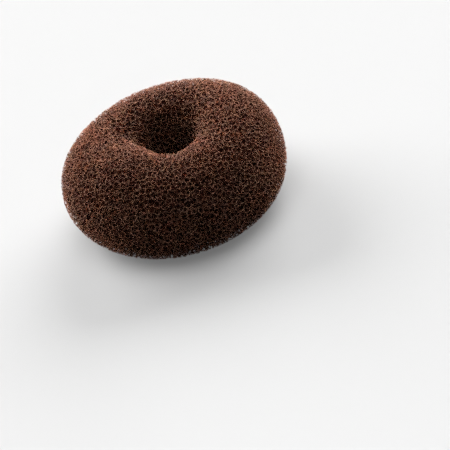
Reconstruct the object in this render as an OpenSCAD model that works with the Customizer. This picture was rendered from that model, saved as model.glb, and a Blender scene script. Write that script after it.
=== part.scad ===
/* [Ring] */
// Outside diameter of the ring, the mean of its slightly uneven outline
ring_d = 90; // [76:1:110]
// Height of the ring where it is fullest
ring_h = 42.5; // [32:0.5:54]
// Height of the widest place above the floor
waist_h = 19; // [16:0.5:24]

/* [Hole] */
// Diameter of the hole where it is narrowest
hole_d = 19.5; // [14:0.5:26]
// Height of the narrowest place above the floor
throat_h = 21; // [16:0.5:26]
// Fullness of the lip that rolls into the hole: 1 is a plain ellipse, less is fuller
lip_power = 0.86; // [0.7:0.01:1.1]

/* [Roll] */
// Diameter of the line along the top of the roll
crest_d = 48.5; // [42:0.5:58]
// Diameter of the middle of the flat band that the foam settles onto
seat_d = 49.5; // [42:0.5:60]
// Width of that flat band
seat_w = 9; // [4:0.5:12]

/* [Hidden] */

// The ring is hand-cut soft foam, so no two stretches of it are alike.
// A row for each eighth of the turn, the first one towards +X, turning towards +Y.
// Each column is a share of the named size that it belongs to: the ring's outside diameter,
// its height, the diameter of the line along its top, that of the hole and the lip's power.
out_col = 0;
high_col = 1;
top_col = 2;
hole_col = 3;
lip_col = 4;
stretches = [
    // out  high   top   hole  lip
    [0.99, 1.00, 1.01, 1.01, 1.00],
    [1.02, 0.97, 1.01, 1.00, 1.00],
    [1.00, 0.95, 0.99, 1.01, 1.00],
    [0.98, 0.94, 0.99, 0.98, 0.99],
    [1.02, 0.97, 0.98, 0.94, 0.97],
    [1.00, 1.00, 0.98, 0.91, 0.94],
    [1.00, 0.92, 1.02, 1.07, 1.06],
    [0.99, 0.95, 1.02, 1.08, 1.04],
];

// How finely the skin is faceted: sections round the ring and steps on each quarter of a section
sections = 80;
quarter_steps = 10;
seat_steps = 2;

// A cubic that runs from b to c and leaves them in the direction of their neighbours a and d
function blend(a, b, c, d, f) =
    b + f / 2 * (c - a + f * (2 * a - 5 * b + 4 * c - d + f * (3 * (b - c) + d - a)));

// The share in one column at any part of the turn, which runs from 0 to 1
function share(column, turn) =
    let (
        n = len(stretches),
        place = turn * n,
        i = floor(place),
        near = [for (k = [-1:2]) stretches[(i + k + n) % n][column]]
    )
    blend(near[0], near[1], near[2], near[3], place - i);

// A quarter of an oval from one point to another, without the last point.
// It leaves the first point upright when rise is true and level when it is false.
function quarter(from, to, rise, power = 1) = [
    for (k = [0:quarter_steps - 1])
        let (
            t = 90 * k / quarter_steps,
            lead = 1 - pow(cos(t), power),
            lag = pow(sin(t), power)
        )
        [
            from[0] + (to[0] - from[0]) * (rise ? lead : lag),
            from[1] + (to[1] - from[1]) * (rise ? lag : lead)
        ]
];

// The closed outline of the roll at one part of the turn, as [radius, height].
// It starts at the waist and runs over the top, down the hole and back along the floor.
function section(turn) =
    let (
        waist = [ring_d / 2 * share(out_col, turn), waist_h],
        crest = [crest_d / 2 * share(top_col, turn), ring_h * share(high_col, turn)],
        throat = [hole_d / 2 * share(hole_col, turn), throat_h],
        seat_in = [(seat_d - seat_w) / 2, 0],
        seat_out = [(seat_d + seat_w) / 2, 0],
        seat = [
            for (k = [0:seat_steps - 1])
                seat_in + (seat_out - seat_in) * k / seat_steps
        ]
    )
    concat(
        quarter(waist, crest, true),
        quarter(crest, throat, false, lip_power * share(lip_col, turn)),
        quarter(throat, seat_in, true),
        seat,
        quarter(seat_out, waist, false)
    );

function middle(values) = (min(values) + max(values)) / 2;

module foam_ring() {
    skin = [
        for (i = [0:sections - 1])
            let (angle = 360 * i / sections)
            for (p = section(i / sections)) [p[0] * cos(angle), p[0] * sin(angle), p[1]]
    ];
    round_count = len(skin) / sections;
    // The uneven outline is moved so that its box is centred on the origin
    centre = [middle([for (p = skin) p[0]]), middle([for (p = skin) p[1]]), 0];
    facets = [
        for (i = [0:sections - 1], j = [0:round_count - 1])
            let (
                here = i * round_count,
                next = (i + 1) % sections * round_count,
                up = (j + 1) % round_count
            )
            each [
                [here + j, here + up, next + up],
                [here + j, next + up, next + j]
            ]
    ];
    color([0.3, 0.19, 0.155])
        polyhedron(points = [for (p = skin) p - centre], faces = facets);
}

foam_ring();
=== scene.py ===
import math
from itertools import combinations, product

import bpy
import numpy as np
from mathutils import Matrix, Vector


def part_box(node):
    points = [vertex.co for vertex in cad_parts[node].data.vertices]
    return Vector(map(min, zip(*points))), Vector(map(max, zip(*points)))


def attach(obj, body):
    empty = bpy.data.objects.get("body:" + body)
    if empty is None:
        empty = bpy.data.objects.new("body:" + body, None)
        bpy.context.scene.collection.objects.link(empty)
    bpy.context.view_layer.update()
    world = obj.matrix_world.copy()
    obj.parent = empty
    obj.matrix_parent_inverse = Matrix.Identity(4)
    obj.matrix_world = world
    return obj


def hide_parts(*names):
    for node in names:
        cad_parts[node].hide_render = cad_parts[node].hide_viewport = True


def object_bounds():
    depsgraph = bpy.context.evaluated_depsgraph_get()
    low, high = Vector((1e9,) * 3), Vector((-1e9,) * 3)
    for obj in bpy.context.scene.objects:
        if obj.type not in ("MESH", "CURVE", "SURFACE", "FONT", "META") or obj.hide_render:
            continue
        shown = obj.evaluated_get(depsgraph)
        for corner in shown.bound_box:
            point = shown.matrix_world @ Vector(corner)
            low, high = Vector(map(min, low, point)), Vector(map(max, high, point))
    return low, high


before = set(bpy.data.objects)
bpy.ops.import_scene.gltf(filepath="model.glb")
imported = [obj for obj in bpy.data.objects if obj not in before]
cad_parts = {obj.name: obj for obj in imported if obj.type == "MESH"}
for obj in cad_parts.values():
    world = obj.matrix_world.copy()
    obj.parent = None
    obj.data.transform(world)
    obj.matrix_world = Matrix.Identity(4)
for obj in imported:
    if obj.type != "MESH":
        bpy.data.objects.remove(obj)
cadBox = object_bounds()
print("frame loaded")


# the skin of the ring, read from its CAD solid

skin = {
    "node": "foam_ring",
    "sections": 80,  # sections of the solid round the ring
    "band": 1e-5,  # corners lower than this lie on the resting band
    "heartRadius": 0.0275,  # a circle that runs inside the roll, the heart circle
    "heartHeight": 0.0205,  # and its height above the floor
    "leans": 360,  # steps of the table round the roll
}


def readSkin():
    # Each corner of the solid once, to a thousandth of a millimetre. The resting band's corners
    # lie on true circles round the ring's axis, so their mean is the axis. Every section is
    # then a row of the table: the distance from the heart circle to the skin, at even angles
    # round the roll.
    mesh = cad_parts[skin["node"]].data
    found = np.empty(len(mesh.vertices) * 3)
    mesh.vertices.foreach_get("co", found)
    found = np.unique(found.reshape(-1, 3).round(6), axis=0)
    axis = found[found[:, 2] < skin["band"]].mean(0)
    turn = np.arctan2(found[:, 1] - axis[1], found[:, 0] - axis[0]) / (2 * np.pi)
    row = np.rint(turn * skin["sections"]).astype(int) % skin["sections"]
    out = np.hypot(found[:, 0] - axis[0], found[:, 1] - axis[1]) - skin["heartRadius"]
    up = found[:, 2] - skin["heartHeight"]
    lean, reach = np.arctan2(up, out), np.hypot(out, up)
    even = np.arange(skin["leans"]) / skin["leans"] * 2 * np.pi
    table = np.stack([
        np.interp(even, lean[row == k], reach[row == k], period=2 * np.pi)
        for k in range(skin["sections"])
    ])
    return axis, table


skinAxis, skinTable = readSkin()


def lookUp(table, turn, lean):
    # turn and lean run from 0 to 1 round the ring and round the roll. The table's four
    # nearest values are mixed by how near they are.
    rows, columns = table.shape
    x, y = turn * rows, lean * columns
    i, j = np.floor(x).astype(int), np.floor(y).astype(int)
    fx, fy = x - i, y - j
    i, j = i % rows, j % columns
    k, m = (i + 1) % rows, (j + 1) % columns
    near = table[i, j] * (1 - fy) + table[i, m] * fy
    far = table[k, j] * (1 - fy) + table[k, m] * fy
    return near * (1 - fx) + far * fx


def skinSlopes():
    # How much shorter the way to the skin is along its normal than away from the heart circle:
    # 1 / sqrt(1 + a^2 + b^2), where a and b are the change of reach for the way gone round the
    # roll and round the ring.
    rows, columns = skinTable.shape
    lean = np.arange(columns) / columns * 2 * np.pi
    roll = (np.roll(skinTable, -1, 1) - np.roll(skinTable, 1, 1)) * columns / (4 * np.pi)
    ring = (np.roll(skinTable, -1, 0) - np.roll(skinTable, 1, 0)) * rows / (4 * np.pi)
    out = skin["heartRadius"] + skinTable * np.cos(lean)
    return 1 / np.sqrt(1 + (roll / skinTable) ** 2 + (ring / out) ** 2)


skinSlope = skinSlopes()


def places(points):
    # Where points lie round the ring and round the roll, and how far from the heart circle.
    x, y = points[:, 0] - skinAxis[0], points[:, 1] - skinAxis[1]
    out, up = np.hypot(x, y) - skin["heartRadius"], points[:, 2] - skin["heartHeight"]
    turn, lean = np.arctan2(y, x) / (2 * np.pi), np.arctan2(up, out) / (2 * np.pi)
    return turn % 1, lean % 1, np.hypot(out, up)


def depthOf(points):
    # How far under the skin points lie. It is negative outside.
    turn, lean, reach = places(points)
    return (lookUp(skinTable, turn, lean) - reach) * lookUp(skinSlope, turn, lean)


def skinGrid(turns, leans, depth):
    # A grid of points at one depth: the skin's point at each turn and lean, moved inwards
    # along the normal, which is the cross product of the grid's two directions.
    turn, lean = np.meshgrid(
        np.arange(turns) / turns, np.arange(leans) / leans, indexing="ij"
    )
    reach = lookUp(skinTable, turn, lean)
    out = skin["heartRadius"] + reach * np.cos(2 * np.pi * lean)
    points = np.stack([
        skinAxis[0] + out * np.cos(2 * np.pi * turn),
        skinAxis[1] + out * np.sin(2 * np.pi * turn),
        skin["heartHeight"] + reach * np.sin(2 * np.pi * lean),
    ], -1)
    along = np.roll(points, -1, 0) - np.roll(points, 1, 0)
    across = np.roll(points, -1, 1) - np.roll(points, 1, 1)
    normal = np.cross(along, across)
    normal /= np.linalg.norm(normal, axis=2, keepdims=True)
    return points - normal * depth


def meshPiece(name, points, faces, material):
    # faces is a list of arrays, each with its own number of corners a face.
    mesh = bpy.data.meshes.new(name)
    flat = np.concatenate([f.ravel() for f in faces]).astype(np.int32)
    sizes = np.concatenate([np.full(len(f), f.shape[1]) for f in faces])
    starts = np.concatenate([[0], np.cumsum(sizes)[:-1]]).astype(np.int32)
    mesh.vertices.add(len(points))
    mesh.vertices.foreach_set("co", points.astype(np.float32).ravel())
    mesh.loops.add(len(flat))
    mesh.loops.foreach_set("vertex_index", flat)
    mesh.polygons.add(len(starts))
    mesh.polygons.foreach_set("loop_start", starts)
    mesh.polygons.foreach_set("use_smooth", np.full(len(starts), True))
    mesh.update(calc_edges=True)
    mesh.validate()
    mesh.materials.append(material)
    piece = bpy.data.objects.new(name, mesh)
    bpy.context.scene.collection.objects.link(piece)
    return piece


# materials

def newMaterial(name):
    material = bpy.data.materials.new(name)
    material.use_nodes = True
    tree = material.node_tree
    return material, tree, tree.nodes["Principled BSDF"]


def addNode(tree, kind, links=(), **values):
    # links go from an output to one of the new node's inputs, values are settings or inputs
    node = tree.nodes.new(kind)
    for name, value in values.items():
        if hasattr(node, name):
            setattr(node, name, value)
        else:
            node.inputs[name].default_value = value
    for output, name in links:
        tree.links.new(output, node.inputs[name])
    return node


def mapRange(tree, value, before=(0, 1), after=(0, 1), kind="ShaderNodeMapRange", **values):
    # what runs between the two ends of before comes out between the two ends of after
    node = addNode(tree, kind, [(value, "Value")], **values)
    for name, ends in ("From", before), ("To", after):
        node.inputs[name + " Min"].default_value = ends[0]
        node.inputs[name + " Max"].default_value = ends[1]
    return node.outputs[0]


dye = {
    "patches": 290,  # lighter and darker patches to a metre
    "patchShare": 0.42,  # how much they differ
    "flecks": 1300,  # small flecks to a metre
    "fleckShare": 0.3,  # how much these differ
    "dullShare": 0.12,  # and how much duller or shinier they are
    "grain": 5200,  # fine bumps to a metre
    "usual": (0.3, 0.7),  # most of a noise lies between these
}


def dyeAndShadeGroup():
    # Foam that took its dye unevenly, with painted shade. The shade mix blends the outer colour
    # into a darker one that stands in for shade, wide patches and small flecks lighten and
    # darken them, and the same flecks make it duller or shinier.
    tree = bpy.data.node_groups.new("dyeAndShade", "ShaderNodeTree")
    wanted = (
        ("Outer", "INPUT", "NodeSocketColor"), ("ShadeColour", "INPUT", "NodeSocketColor"),
        ("Depth", "INPUT", "NodeSocketFloat"), ("Dull", "INPUT", "NodeSocketFloat"),
        ("Colour", "OUTPUT", "NodeSocketColor"), ("Roughness", "OUTPUT", "NodeSocketFloat"),
        ("Height", "OUTPUT", "NodeSocketFloat"),
    )
    for name, way, kind in wanted:
        tree.interface.new_socket(name, in_out=way, socket_type=kind)
    given = tree.nodes.new("NodeGroupInput").outputs
    place = tree.nodes.new("ShaderNodeTexCoord").outputs["Object"]
    noises = ((dye["patches"], 2), (dye["flecks"], 2), (dye["grain"], 1))  # with their detail
    patch, fleck, grain = (
        addNode(
            tree, "ShaderNodeTexNoise", [(place, "Vector")], Scale=scale, Detail=detail
        ).outputs["Fac"]
        for scale, detail in noises
    )

    def swing(noise, middle, share):
        return mapRange(tree, noise, dye["usual"], (middle - share, middle + share))

    # a Mix node has sockets of the same name for each kind of value, so its colours are
    # reached by number: 6 and 7 go in, and 2 comes out
    # painted shade: the outer colour is darkened towards the shade colour by the shade mix
    mixed = addNode(tree, "ShaderNodeMix", [
        (given["Depth"], 0), (given["Outer"], 6), (given["ShadeColour"], 7),
    ], data_type="RGBA")
    light = addNode(tree, "ShaderNodeMath", [
        (swing(patch, 1, dye["patchShare"]), 0), (swing(fleck, 1, dye["fleckShare"]), 1),
    ], operation="MULTIPLY")
    shaded = addNode(tree, "ShaderNodeVectorMath", [
        (mixed.outputs[2], 0), (light.outputs[0], "Scale"),
    ], operation="SCALE")
    dull = addNode(tree, "ShaderNodeMath", [
        (given["Dull"], 0), (swing(fleck, 0, dye["dullShare"]), 1),
    ], operation="ADD")
    out = tree.nodes.new("NodeGroupOutput")
    tree.links.new(shaded.outputs[0], out.inputs["Colour"])
    tree.links.new(dull.outputs[0], out.inputs["Roughness"])
    tree.links.new(grain, out.inputs["Height"])
    return tree


dyeAndShade = dyeAndShadeGroup()


def addDyeAndShade(tree, shader, look, depth):
    # the group, its own values, the shine, and a bump from the group's grain; the last argument
    # sets how far the colour goes into its painted shade
    node = tree.nodes.new("ShaderNodeGroup")
    node.node_tree = dyeAndShade
    node.inputs["Outer"].default_value = look["outer"]
    node.inputs["ShadeColour"].default_value = look["shadeColour"]
    node.inputs["Dull"].default_value = look["dull"]
    tree.links.new(depth, node.inputs["Depth"])
    tree.links.new(node.outputs["Colour"], shader.inputs["Base Color"])
    tree.links.new(node.outputs["Roughness"], shader.inputs["Roughness"])
    shader.inputs["Specular IOR Level"].default_value = look["gloss"]
    bump = addNode(tree, "ShaderNodeBump", [(node.outputs["Height"], "Height")])
    bump.inputs["Strength"].default_value = look["bump"]
    bump.inputs["Distance"].default_value = look["bumpHeight"]
    tree.links.new(bump.outputs["Normal"], shader.inputs["Normal"])
    return bump


strands = {
    "outer": (0.42, 0.22, 0.15, 1),  # the strands at the skin
    "shadeColour": (0.085, 0.035, 0.025, 1),  # and those deep in the net, darkened as painted shade
    "gloss": 0.2,  # how strongly they shine
    "dull": 0.42,  # how wide the shine is spread
    "bump": 0.4,  # how much of the grain shows
    "bumpHeight": 0.0001,  # and how high it is
    "glow": 1.0,  # share of the light that goes into a strand and comes out elsewhere
    "glowColour": (1, 0.42, 0.22),  # red goes furthest
    "glowReach": 0.00045,  # how far that is
}


def strandMaterial():
    material, tree, shader = newMaterial("brownStrands")
    # the depth attribute sets how far each strand's colour goes into the painted shade of the
    # deep net
    depth = addNode(tree, "ShaderNodeAttribute", attribute_name="depth")
    addDyeAndShade(tree, shader, strands, depth.outputs["Fac"])
    shader.inputs["Subsurface Weight"].default_value = strands["glow"]
    shader.inputs["Subsurface Radius"].default_value = strands["glowColour"]
    shader.inputs["Subsurface Scale"].default_value = strands["glowReach"]
    return material


heartLook = {
    "outer": (0.07, 0.02, 0.012, 1),  # strands that are too deep to be modelled, painted dark as their shade
    "shadeColour": (0.02, 0.005, 0.003, 1),  # the pores between them, painted darker still as shade
    "gloss": 0,
    "dull": 0.9,
    "bump": 0.5,  # how much strands stand out from the pores
    "bumpHeight": 0.0005,
    "pores": 520,  # to a metre
    "strand": 0.13,  # half a strand's width, in pores
}


def heartMaterial():
    # Deep strands are drawn along the edges of a cell pattern, and stand out from the pores.
    # Strands and pores are both painted dark, as shade of the deep foam.
    material, tree, shader = newMaterial("darkHeart")
    place = tree.nodes.new("ShaderNodeTexCoord").outputs["Object"]
    cell = addNode(
        tree, "ShaderNodeTexVoronoi", [(place, "Vector")],
        feature="DISTANCE_TO_EDGE", Scale=heartLook["pores"],
    )
    sunk = mapRange(tree, cell.outputs["Distance"], (0, heartLook["strand"]))
    bump = addDyeAndShade(tree, shader, heartLook, sunk)
    raised = addNode(tree, "ShaderNodeMath", [(sunk, 1)], operation="SUBTRACT")
    raised.inputs[0].default_value = 1
    tree.links.new(raised.outputs[0], bump.inputs["Height"])
    return material


# the net of strands

net = {
    "spacing": 0.00222,  # about a cell's width
    "strewn": 2,  # cells strewn into a cube of that width, before they are pushed apart
    "margin": 1.25,  # how far cells lie beyond both sides of the net's layer, in spacings
    "sizes": 0.6,  # how much cells differ in width
    "room": 1.05,  # how far apart they push each other, in spacings
    "push": 0.25,  # the share of what is missing that a cell moves at once
    "pushes": 12,  # rounds of pushing
    "renew": 9,  # rounds after which it is looked up again which cells are near
    "depth": 0.0033,  # how deep the net is modelled
    "shadeDepth": 0.0021,  # how far under the skin strands reach their full painted shade
    "shadeCurve": 0.45,  # below 1 the painted shade comes early, above 1 late
    "strand": 0.00012,  # from the middle of a knot to its corners, at the skin
    "thicker": 0.6,  # and how much more that is where the net ends
    "ragged": 0.0004,  # how far under the skin the outermost knots may be missing
    "stub": 0.45,  # the shortest that a cut strand gets, as a share of what it could be
    "even": 0.45,  # how far knots move to the middle of their neighbours
    "reach": 1.75,  # cells further apart than this never share a knot, in spacings
    "sets": 6,  # pieces that the net is split into
    "seed": 11,
}


def nearPairs(points, reach):
    # Pairs of points nearer than reach, both ways round. The points are sorted into cubes of
    # that width, and each looks through the cubes about its own.
    cube = np.floor((points - points.min(0)) / reach).astype(int) + 1
    size = cube.max(0) + 2
    stride = np.array([size[1] * size[2], size[2], 1])
    key = cube @ stride
    order = np.argsort(key, kind="stable")
    ranked = key[order]
    pairs = []
    for step in product((-1, 0, 1), repeat=3):
        start = np.searchsorted(ranked, key + stride @ step)
        stop = np.searchsorted(ranked, key + stride @ step, side="right")
        for k in range((stop - start).max()):
            one = np.flatnonzero(start + k < stop)
            other = order[start[one] + k]
            square = ((points[one] - points[other]) ** 2).sum(1)
            near = (square < reach ** 2) & (one != other)
            pairs.append(np.stack([one[near], other[near]]))
    return np.concatenate(pairs, 1)


def growCells():
    # Middles of cells: points strewn evenly through a layer about the skin. Two that stand
    # closer than half the sum of their widths move apart by a share of what is missing, round
    # after round, and none leaves the layer.
    rng = np.random.default_rng(net["seed"])
    spacing = net["spacing"]
    low, high = (np.array(corner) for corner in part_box(skin["node"]))
    low, high = low - 2 * spacing, high + 2 * spacing  # more than the margin on every side
    count = int((high - low).prod() * net["strewn"] / spacing ** 3)
    cells = rng.uniform(low, high, (count, 3))

    def inLayer(points):
        depth, margin = depthOf(points), net["margin"] * spacing
        return (depth > -margin) & (depth < net["depth"] + margin)

    cells = cells[inLayer(cells)]
    width = rng.uniform(1 - net["sizes"], 1 + net["sizes"], len(cells))
    width *= spacing * net["room"]
    for k in range(net["pushes"]):
        if k % net["renew"] == 0:
            one, other = nearPairs(cells, spacing * net["reach"])
        gap = cells[one] - cells[other]
        far = np.linalg.norm(gap, axis=1)
        missing = np.maximum((width[one] + width[other]) / 2 - far, 0) / far
        push = gap * missing[:, None] * net["push"]
        moved = cells + np.stack([np.bincount(one, p, len(cells)) for p in push.T], 1)
        stays = inLayer(moved)
        cells[stays] = moved[stays]
    return cells


def tableOf(one, other, count):
    # One row for each point, with its partners packed to the left and -1 after them.
    many = np.bincount(one, minlength=count)
    rank = np.arange(len(one)) - (np.cumsum(many) - many)[one]
    table = np.full((count, many.max()), -1)
    table[one, rank] = other
    return table


def findKnots(cells):
    # A knot of the foam is where four cells meet: the middle of a sphere through the four that
    # holds no other cell. With b, c and d the ways from the first cell to the others, it lies
    # (|b|^2 c x d + |c|^2 d x b + |d|^2 b x c) / (2 b . c x d) from the first cell.
    reach = net["spacing"] * net["reach"]
    one, other = nearPairs(cells, reach)
    order = np.lexsort((((cells[one] - cells[other]) ** 2).sum(1), one))  # the nearest first
    one, other = one[order], other[order]
    around = tableOf(one, other, len(cells))
    # looking only at the cells that come later finds each four once
    later = tableOf(one[other > one], other[other > one], len(cells))
    away = cells[later] - cells[:, None]
    square = (away ** 2).sum(2)
    groups, middles = [], []

    def close(first, i, j):
        return ((away[first, i] - away[first, j]) ** 2).sum(1) < reach ** 2

    for i, j in combinations(range(later.shape[1]), 2):
        two = np.flatnonzero(later[:, j] >= 0)
        two = two[close(two, i, j)]
        for k in range(j + 1, later.shape[1]):
            first = two = two[later[two, k] >= 0]  # rows that end here have no later k either
            first = first[close(first, i, k)]
            first = first[close(first, j, k)]
            b, c, d = away[first, i], away[first, j], away[first, k]
            cd = np.cross(c, d)
            whole = 2 * (b * cd).sum(1)
            whole[np.abs(whole) < 1e-5 * reach ** 3] = np.inf  # four cells in one plane
            middle = (
                square[first, i, None] * cd
                + square[first, j, None] * np.cross(d, b)
                + square[first, k, None] * np.cross(b, c)
            ) / whole[:, None]
            # all cells in a sphere no wider than reach stand in each other's rows
            fits = np.isfinite(whole) & ((middle ** 2).sum(1) < (reach / 2) ** 2)
            first = first[fits]
            groups.append(np.stack([first, *(later[first, n] for n in (i, j, k))], 1))
            middles.append(cells[first] + middle[fits])
    groups, middles = np.concatenate(groups), np.concatenate(middles)
    # a hair is taken off, so that rounding puts no cell inside a sphere that it lies on
    limit = ((cells[groups[:, 0]] - middles) ** 2).sum(1) * (1 - 1e-9)
    left = np.arange(len(groups))
    for column in around.T:
        other = column[groups[left, 0]]
        inside = ((cells[other] - middles[left]) ** 2).sum(1) < limit[left]
        own = (groups[left] == other[:, None]).any(1)
        left = left[~(inside & (other >= 0) & ~own)]
    return groups[left], middles[left]


def joinKnots(groups):
    # Two knots that share three cells are joined by a strand. Returns for each strand its two
    # knots and, for either end, the places of the three shared cells among the knot's four.
    order = np.argsort(groups, axis=1)
    ranked = np.take_along_axis(groups, order, 1)
    sides = np.array([[1, 2, 3], [0, 2, 3], [0, 1, 3], [0, 1, 2]])
    threes = ranked[:, sides].reshape(-1, 3)
    spots = order[:, sides].reshape(-1, 3)
    count = groups.max() + 1
    key = (threes[:, 0] * count + threes[:, 1]) * count + threes[:, 2]
    sort = np.argsort(key, kind="stable")
    same = np.flatnonzero(key[sort][1:] == key[sort][:-1])
    a, b = sort[same], sort[same + 1]
    return a // 4, b // 4, spots[a], spots[b]


def mainNet(ends, count):
    # Which knots hang together with the most others: each takes the lowest number that its
    # strands reach, until nothing changes.
    label = np.arange(count)
    while True:
        was = label.copy()
        low = np.minimum(label[ends[0]], label[ends[1]])
        np.minimum.at(label, ends[0], low)
        np.minimum.at(label, ends[1], low)
        label = label[label]
        if (label == was).all():
            return label == np.bincount(label).argmax()


def evenOut(knots, a, b):
    # Knots with four neighbours move towards the middle of them.
    total, count = np.zeros_like(knots), np.zeros(len(knots))
    for one, other in ((a, b), (b, a)):
        np.add.at(total, one, knots[other])
        np.add.at(count, one, 1)
    whole = count == 4
    knots[whole] += (total[whole] / 4 - knots[whole]) * net["even"]


def knotCorners(cells, groups, knots, depth):
    # Each knot is a small tetrahedron with a corner towards each of its four cells, and is
    # thicker further down.
    towards = cells[groups] - knots[:, None]
    towards /= np.linalg.norm(towards, axis=2, keepdims=True)
    thick = net["strand"] * (1 + net["thicker"] * np.clip(depth / net["depth"], 0, 1))
    return knots[:, None] + towards * thick[:, None, None]


def only(chosen, *arrays):
    return [array[chosen] for array in arrays]


def buildNet(material):
    # Strands between the knots under the skin, down to where the net ends, in pieces that each
    # take an equal share of the turn.
    cells = growCells()
    print("cells grown", len(cells))
    groups, knots = findKnots(cells)
    print("knots found", len(knots))
    a, b, spotA, spotB = joinKnots(groups)
    evenOut(knots, a, b)
    depth = depthOf(knots)
    corner = knotCorners(cells, groups, knots, depth)
    rng = np.random.default_rng(net["seed"])
    inside = depth > rng.uniform(0, net["ragged"], len(knots))
    shallow = depth < net["depth"]
    wanted = (inside[a] | inside[b]) & (shallow[a] | shallow[b])
    a, b, spotA, spotB = only(wanted, a, b, spotA, spotB)
    # the first end of a strand is inside the skin
    swap = ~inside[a]
    a[swap], b[swap] = b[swap], a[swap]
    spotA[swap], spotB[swap] = spotB[swap], spotA[swap]
    # strands that hang on nothing are left out
    both = inside[a] & inside[b]
    main = mainNet((a[both], b[both]), len(knots))
    a, b, spotA, spotB, both = only(main[a], a, b, spotA, spotB, both)
    endA = corner[a[:, None], spotA]
    endB = corner[b[:, None], spotB]
    # a strand whose far knot is missing is cut short, at the skin or below it
    cut = ~both
    depthA, depthB = depth[a[cut]], depth[b[cut]]
    part = np.where(depthB < 0, depthA / (depthA - depthB), 1)
    part = (part * rng.uniform(net["stub"], 1, len(part)))[:, None, None]
    endB[cut] = endA[cut] + (endB[cut] - endA[cut]) * part
    # corners run anticlockwise as seen from the far end
    normal = np.cross(endA[:, 1] - endA[:, 0], endA[:, 2] - endA[:, 0])
    turned = (normal * (endB.mean(1) - endA.mean(1))).sum(1) < 0
    for ends in (endA, endB, spotA, spotB):
        ends[turned] = ends[turned][:, ::-1]
    print("strands", len(a), "of them cut", cut.sum())
    pieces = []
    turn = places((endA.mean(1) + endB.mean(1)) / 2)[0]
    setOf = np.minimum((turn * net["sets"]).astype(int), net["sets"] - 1)
    for k in range(net["sets"]):
        mine = only(setOf == k, a, b, spotA, spotB, endA, endB, cut)
        pieces.append(netPiece(f"foamNet{k + 1}", *mine, material))
    return pieces


def strandMap(piece, count, caps):
    # A map for painting the piece: each strand has a square of its own in a chessboard, with its
    # three sides side by side in it. The small caps follow, three-cornered in squares.
    wide = math.ceil(math.sqrt(count + caps))
    gap = 0.05  # left free along each edge, so that colours don't run into each other
    corners = np.array([(0, 0), (1, 0), (1, 1), (0, 1)]) * (1 - 2 * gap) + gap
    spot = np.stack([np.arange(count + caps) % wide, np.arange(count + caps) // wide], -1)
    sides = [
        (spot[:count, None] + (corners + (k, 0)) * (1 / 3, 1)) / wide for k in range(3)
    ]
    ends = (spot[count:, None] + corners[:3]) / wide
    flat = np.concatenate([np.concatenate(sides).reshape(-1, 2), ends.reshape(-1, 2)])
    layer = piece.data.uv_layers.new(name="OFBake")
    layer.data.foreach_set("uv", flat.ravel())


def netPiece(name, a, b, spotA, spotB, endA, endB, cut, material):
    # Strands share the corners of their knots: a corner is known by its knot and its spot.
    # A cut end has three corners of its own and is closed, and so is each side of a knot that
    # has no strand here. A knot with a single strand here stays open: it lies behind the heart
    # or between two pieces.
    count = len(a)
    idA = a[:, None] * 4 + spotA
    ownB = -1 - np.arange(count * 3).reshape(-1, 3)
    idB = np.where(cut[:, None], ownB, b[:, None] * 4 + spotB)
    ids = np.concatenate([idA, idB]).ravel()
    ids, first, index = np.unique(ids, return_index=True, return_inverse=True)
    points = np.concatenate([endA, endB]).reshape(-1, 3)[first]
    # how far each corner's colour goes into the painted shade, from 0 at the skin to 1 deep down
    depth = np.clip(depthOf(points) / net["shadeDepth"], 0, 1) ** net["shadeCurve"]
    points[:, 2] = np.maximum(points[:, 2], 0)
    indexA, indexB = index.reshape(2, count, 3)
    sides = [
        np.stack([indexA[:, i], indexA[:, j], indexB[:, j], indexB[:, i]], 1)
        for i, j in ((0, 1), (1, 2), (2, 0))
    ]
    caps = [indexB[cut]]
    # a knot's side is known by the spot that it leaves out
    used = np.concatenate([a * 4 + 6 - spotA.sum(1), (b * 4 + 6 - spotB.sum(1))[~cut]])
    corners = np.full((max(a.max(), b.max()) + 1) * 4, -1)
    corners[ids[ids >= 0]] = np.flatnonzero(ids >= 0)
    knots = np.unique(used // 4)
    everySide = (knots[:, None] * 4 + np.arange(4)).ravel()
    bare = np.setdiff1d(everySide, used)
    knot, missing = bare // 4, bare % 4
    # the three corners of each side, not turned to match the strands beside it
    around = np.array([[1, 2, 3], [0, 3, 2], [0, 1, 3], [0, 2, 1]])
    cap = corners[knot[:, None] * 4 + around[missing]]
    caps.append(cap[(cap >= 0).all(1)])
    caps = np.concatenate(caps)
    piece = meshPiece(name, points, [np.concatenate(sides), caps], material)
    strandMap(piece, count, len(caps))
    # the painted shade's share is kept on the points as their depth
    piece.data.attributes.new("depth", "FLOAT", "POINT").data.foreach_set("value", depth)
    print(name, "triangles", count * 6 + len(caps))
    return piece


heartGrid = {
    "turns": 120,  # steps round the ring
    "leans": 60,  # and round the roll
}


def buildHeart(material):
    # The skin once more, at the depth where the net ends.
    turns, leans = heartGrid["turns"], heartGrid["leans"]
    points = skinGrid(turns, leans, net["depth"])
    i, j = np.meshgrid(np.arange(turns), np.arange(leans), indexing="ij")
    k, m = (i + 1) % turns, (j + 1) % leans
    faces = np.stack([i * leans + j, k * leans + j, k * leans + m, i * leans + m], -1)
    return meshPiece("foamHeart", points.reshape(-1, 3), [faces.reshape(-1, 4)], material)


foam = [buildHeart(heartMaterial()), *buildNet(strandMaterial())]
for piece in foam:
    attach(piece, "root")
    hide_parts("foam_ring")
print("foam built")


# floor, light and camera

studio = {
    "size": 4,  # from the floor's middle to its sides
    "floor": 0.7,  # how much light the floor throws back as the camera sees it
    "lift": 0.15,  # what it has besides, so that shadows stay pale
    "bounce": 0.22,  # how much light it throws back up to the ring
    "dull": 0.8,  # how wide its shine is spread
    "lights": {  # where each light comes from, its power and how many degrees across it is
        "leftLight": ((-0.82, 1, 0.34), 4.2, 60),
        "rightLight": ((0.75, 0.95, 0.4), 3.7, 60),
        "topLight": ((0, -0.22, 1), 1.0, 50),
    },
    "room": 0.01,  # light from all round
    "backdrop": 0.95,  # what shows above the floor
}


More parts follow.
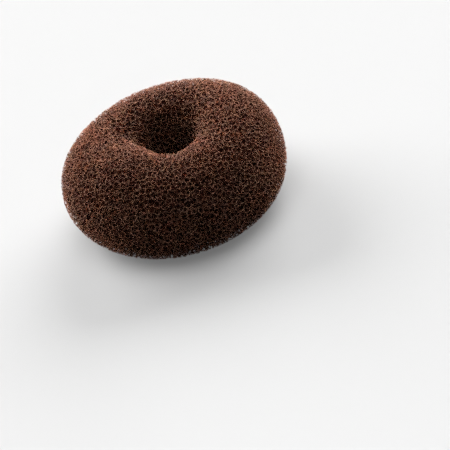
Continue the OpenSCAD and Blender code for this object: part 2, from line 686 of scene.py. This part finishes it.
def buildFloor():
    size = studio["size"]
    corners = [(-size, -size, 0), (size, -size, 0), (size, size, 0), (-size, size, 0)]
    mesh = bpy.data.meshes.new("paleFloor")
    mesh.from_pydata(corners, [], [(0, 1, 2, 3)])
    floor = bpy.data.objects.new("paleFloor", mesh)
    bpy.context.scene.collection.objects.link(floor)
    material, tree, shader = newMaterial("paleFloor")
    # the first value of each pair is for the ring, the second for the camera
    seen = tree.nodes.new("ShaderNodeLightPath").outputs["Is Camera Ray"]
    for name, ends in (
        ("Base Color", (studio["bounce"], studio["floor"])),
        ("Emission Color", (0, studio["lift"])),
    ):
        tree.links.new(mapRange(tree, seen, after=ends), shader.inputs[name])
    shader.inputs["Emission Strength"].default_value = 1
    shader.inputs["Roughness"].default_value = studio["dull"]
    mesh.materials.append(material)


def softLight(name, place, power, soft):
    # Far away and wide, so the floor is evenly bright and shadows have soft edges.
    lamp = bpy.data.lights.new(name, "SUN")
    lamp.energy, lamp.angle = power, math.radians(soft)
    light = bpy.data.objects.new(name, lamp)
    light.location = place
    light.rotation_euler = Vector(place).to_track_quat("Z", "Y").to_euler()
    bpy.context.scene.collection.objects.link(light)


def buildLight():
    for name, light in studio["lights"].items():
        softLight(name, *light)
    world = bpy.data.worlds.new("studio")
    world.use_nodes = True
    tree = world.node_tree
    seen = tree.nodes.new("ShaderNodeLightPath").outputs["Is Camera Ray"]
    strength = mapRange(tree, seen, after=(studio["room"], studio["backdrop"]))
    background = tree.nodes["Background"]
    background.inputs["Color"].default_value = (1, 1, 1, 1)
    tree.links.new(strength, background.inputs["Strength"])
    world.cycles.sampling_method = "NONE"  # it is too dim to be sampled as a light
    bpy.context.scene.world = world


shot = {
    "elevation": 32.8,  # degrees above the floor
    "roll": 16.6,  # degrees that the ring leans anticlockwise in the picture
    "distance": 0.7,  # from the ring's middle
    "sight": 50,  # how far the camera sees
    "sensor": 36,  # its width in millimetres
    "pixelsPerMetre": 2543,  # at the ring
    "ringAt": (172.3, 163.4),  # where the ring's middle lies in the picture
    "picture": 450,  # pixels across
}


def buildCamera():
    elevation, roll = math.radians(shot["elevation"]), math.radians(shot["roll"])
    back = Vector((0, -math.cos(elevation), math.sin(elevation)))
    level, upright = Vector((1, 0, 0)), Vector((0, math.sin(elevation), math.cos(elevation)))
    right = level * math.cos(roll) - upright * math.sin(roll)
    up = level * math.sin(roll) + upright * math.cos(roll)
    # the camera first faces the ring, and is then turned until the ring lies at its place
    pixels = shot["pixelsPerMetre"] * shot["distance"]
    half = shot["picture"] / 2
    seen = Vector((shot["ringAt"][0] - half, half - shot["ringAt"][1], -pixels))
    facing = Matrix((right, up, back)).transposed()
    turn = seen.rotation_difference(Vector((0, 0, -1))).to_matrix()
    middle = Vector((0, 0, (cadBox[0][2] + cadBox[1][2]) / 2))
    data = bpy.data.cameras.new("camera")
    data.sensor_width = shot["sensor"]
    data.lens = pixels * data.sensor_width / shot["picture"]
    data.clip_end = shot["sight"]
    camera = bpy.data.objects.new("camera", data)
    camera.matrix_world = (facing @ turn).to_4x4()
    camera.location = middle + back * shot["distance"]
    bpy.context.scene.collection.objects.link(camera)
    bpy.context.scene.camera = camera


buildFloor()
buildLight()
buildCamera()
bpy.context.scene.view_settings.view_transform = "Standard"
bpy.context.scene.cycles.use_denoising = False  # it would smear the finest strands
bpy.context.scene.cycles.use_adaptive_sampling = False
bpy.context.scene.cycles.use_light_tree = False  # so that each light gets its share of samples
print("floor, light and camera built")


picture = {
    "bright": (0.01, 0.12),  # where the picture is this dark and this bright,
    "crisp": (0.75, 0.48),  # so much of the strands' own light and dark stays, of 1
    "brown": 0.28,  # no strand has more blue than this, and the floor has far more
}


def cleanPicture():
    # Takes the grain out of the picture's colour and keeps the brightness of the finest strands:
    # the cleaned picture times (brightness before / brightness after) ^ crisp. The floor has
    # nothing fine on it, so the cleaned picture stays as it is there.
    scene = bpy.context.scene
    layer = scene.view_layers[0]
    layer.use_pass_normal = layer.use_pass_diffuse_color = True
    scene.use_nodes = True
    tree = scene.node_tree
    tree.nodes.clear()
    before = addNode(tree, "CompositorNodeRLayers", scene=scene).outputs
    after = addNode(tree, "CompositorNodeDenoise", [
        (before["Image"], "Image"), (before["Normal"], "Normal"), (before["DiffCol"], "Albedo"),
    ], prefilter="ACCURATE").outputs["Image"]
    bright = [
        addNode(tree, "CompositorNodeRGBToBW", [(image, "Image")]).outputs["Val"]
        for image in (before["Image"], after)
    ]
    share = addNode(tree, "CompositorNodeMath", list(zip(bright, range(2))), operation="DIVIDE")
    fine = addNode(tree, "CompositorNodeMath", [(share.outputs[0], 0)], operation="POWER")
    clamped = {"kind": "CompositorNodeMapRange", "use_clamp": True}
    crisp = mapRange(tree, bright[1], picture["bright"], picture["crisp"], **clamped)
    tree.links.new(crisp, fine.inputs[1])
    blue = addNode(
        tree, "CompositorNodeSeparateColor", [(before["DiffCol"], "Image")]
    ).outputs["Blue"]
    onFloor = mapRange(tree, blue, (picture["brown"], studio["floor"]), **clamped)
    kept = addNode(tree, "CompositorNodeMixRGB", [(onFloor, 0), (fine.outputs[0], 1)])
    kept.inputs[2].default_value = (1, 1, 1, 1)
    out = addNode(
        tree, "CompositorNodeMixRGB", [(after, 1), (kept.outputs[0], 2)], blend_type="MULTIPLY"
    )
    addNode(tree, "CompositorNodeComposite", [(out.outputs[0], "Image")])


cleanPicture()
